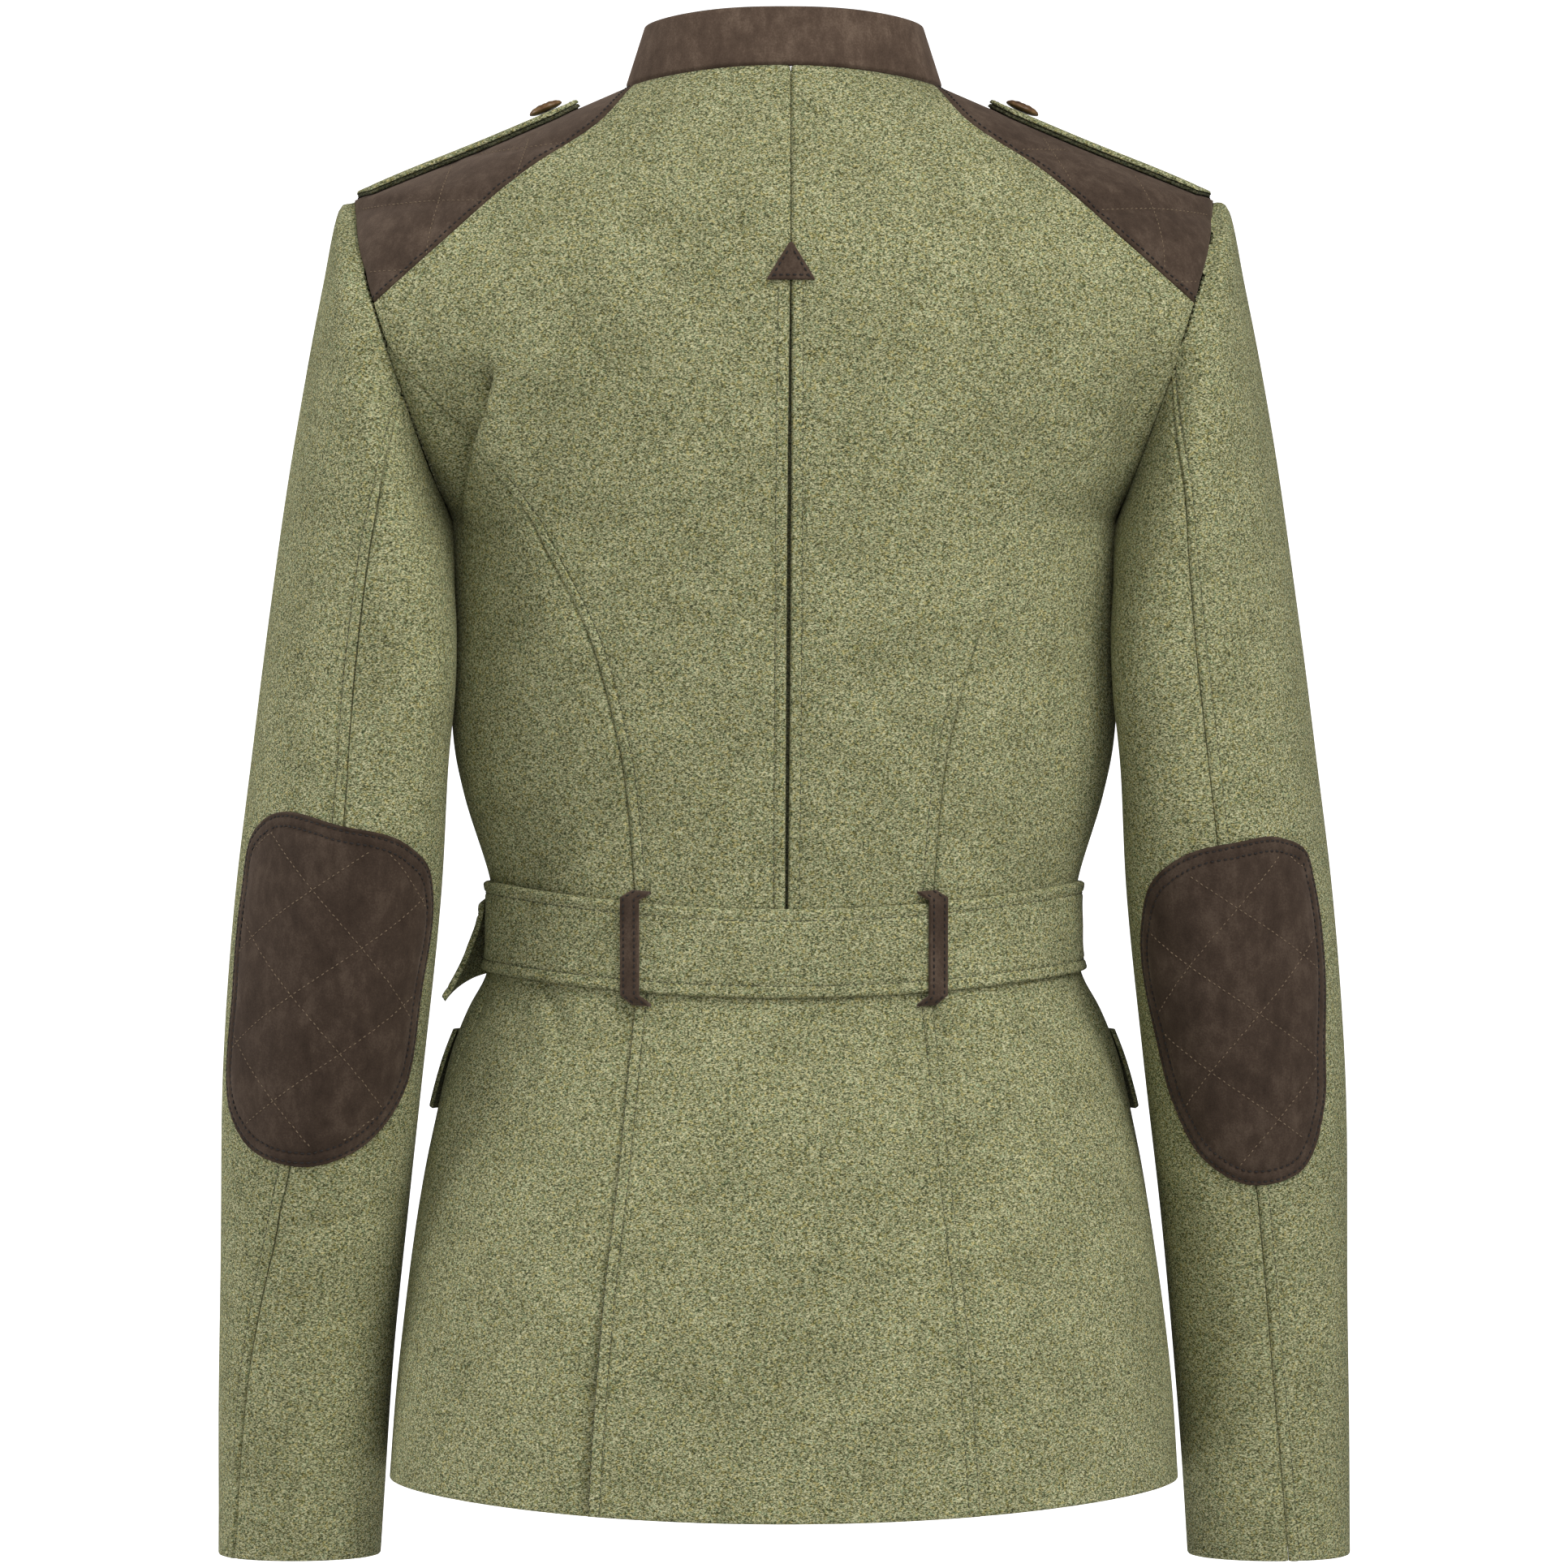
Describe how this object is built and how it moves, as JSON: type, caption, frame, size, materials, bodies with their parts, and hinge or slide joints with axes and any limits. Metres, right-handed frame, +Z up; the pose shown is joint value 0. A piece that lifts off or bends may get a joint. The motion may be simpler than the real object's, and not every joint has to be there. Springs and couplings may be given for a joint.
{
  "type": "hunting jacket",
  "caption": "Woman's fitted loden hunting jacket, filled out as worn: suede stand collar, quilted yokes and elbow patches, belted waist, inverted back pleat and flared skirt.",
  "frame": {"origin": "middle of the shoulder line, midway between the shoulder tips at the height of the middle of the shoulder seams, where the wearer's shoulders carry the jacket", "axes": "+Z up, +Y out of the jacket's back, +X towards the wearer's left sleeve"},
  "size_m": [0.5062, 0.2646, 0.6858],
  "materials": {
    "loden": "melange sage green loden, fuzzy nap",
    "loden_shade": "the same loden in the shade of a fold",
    "suede": "dark brown suede, brushed nap",
    "button_leather": "polished brown braided leather"
  },
  "bodies": {
    "root": {"back_left": "loden", "back_pleat": "loden_shade", "back_right": "loden", "back_side_left": "loden", "back_side_right": "loden", "back_tab": "suede", "belt": "loden", "belt_button": "button_leather", "belt_loop_left": "suede", "belt_loop_right": "suede", "collar": "suede", "elbow_patch_left": "suede", "elbow_patch_right": "suede", "epaulette_button_left": "button_leather", "epaulette_button_right": "button_leather", "epaulette_left": "loden", "epaulette_right": "loden", "front_button_1": "button_leather", "front_button_2": "button_leather", "front_button_3": "button_leather", "front_button_4": "button_leather", "front_button_5": "button_leather", "front_left": "loden", "front_right": "loden", "pocket_flap_left": "loden_shade", "pocket_flap_right": "loden_shade", "skirt_back": "loden", "skirt_side_left": "loden", "skirt_side_right": "loden", "sleeve_under_left": "loden", "sleeve_under_right": "loden", "sleeve_upper_left": "loden", "sleeve_upper_right": "loden", "yoke_left": "suede", "yoke_right": "suede"}
  },
  "joints": []
}
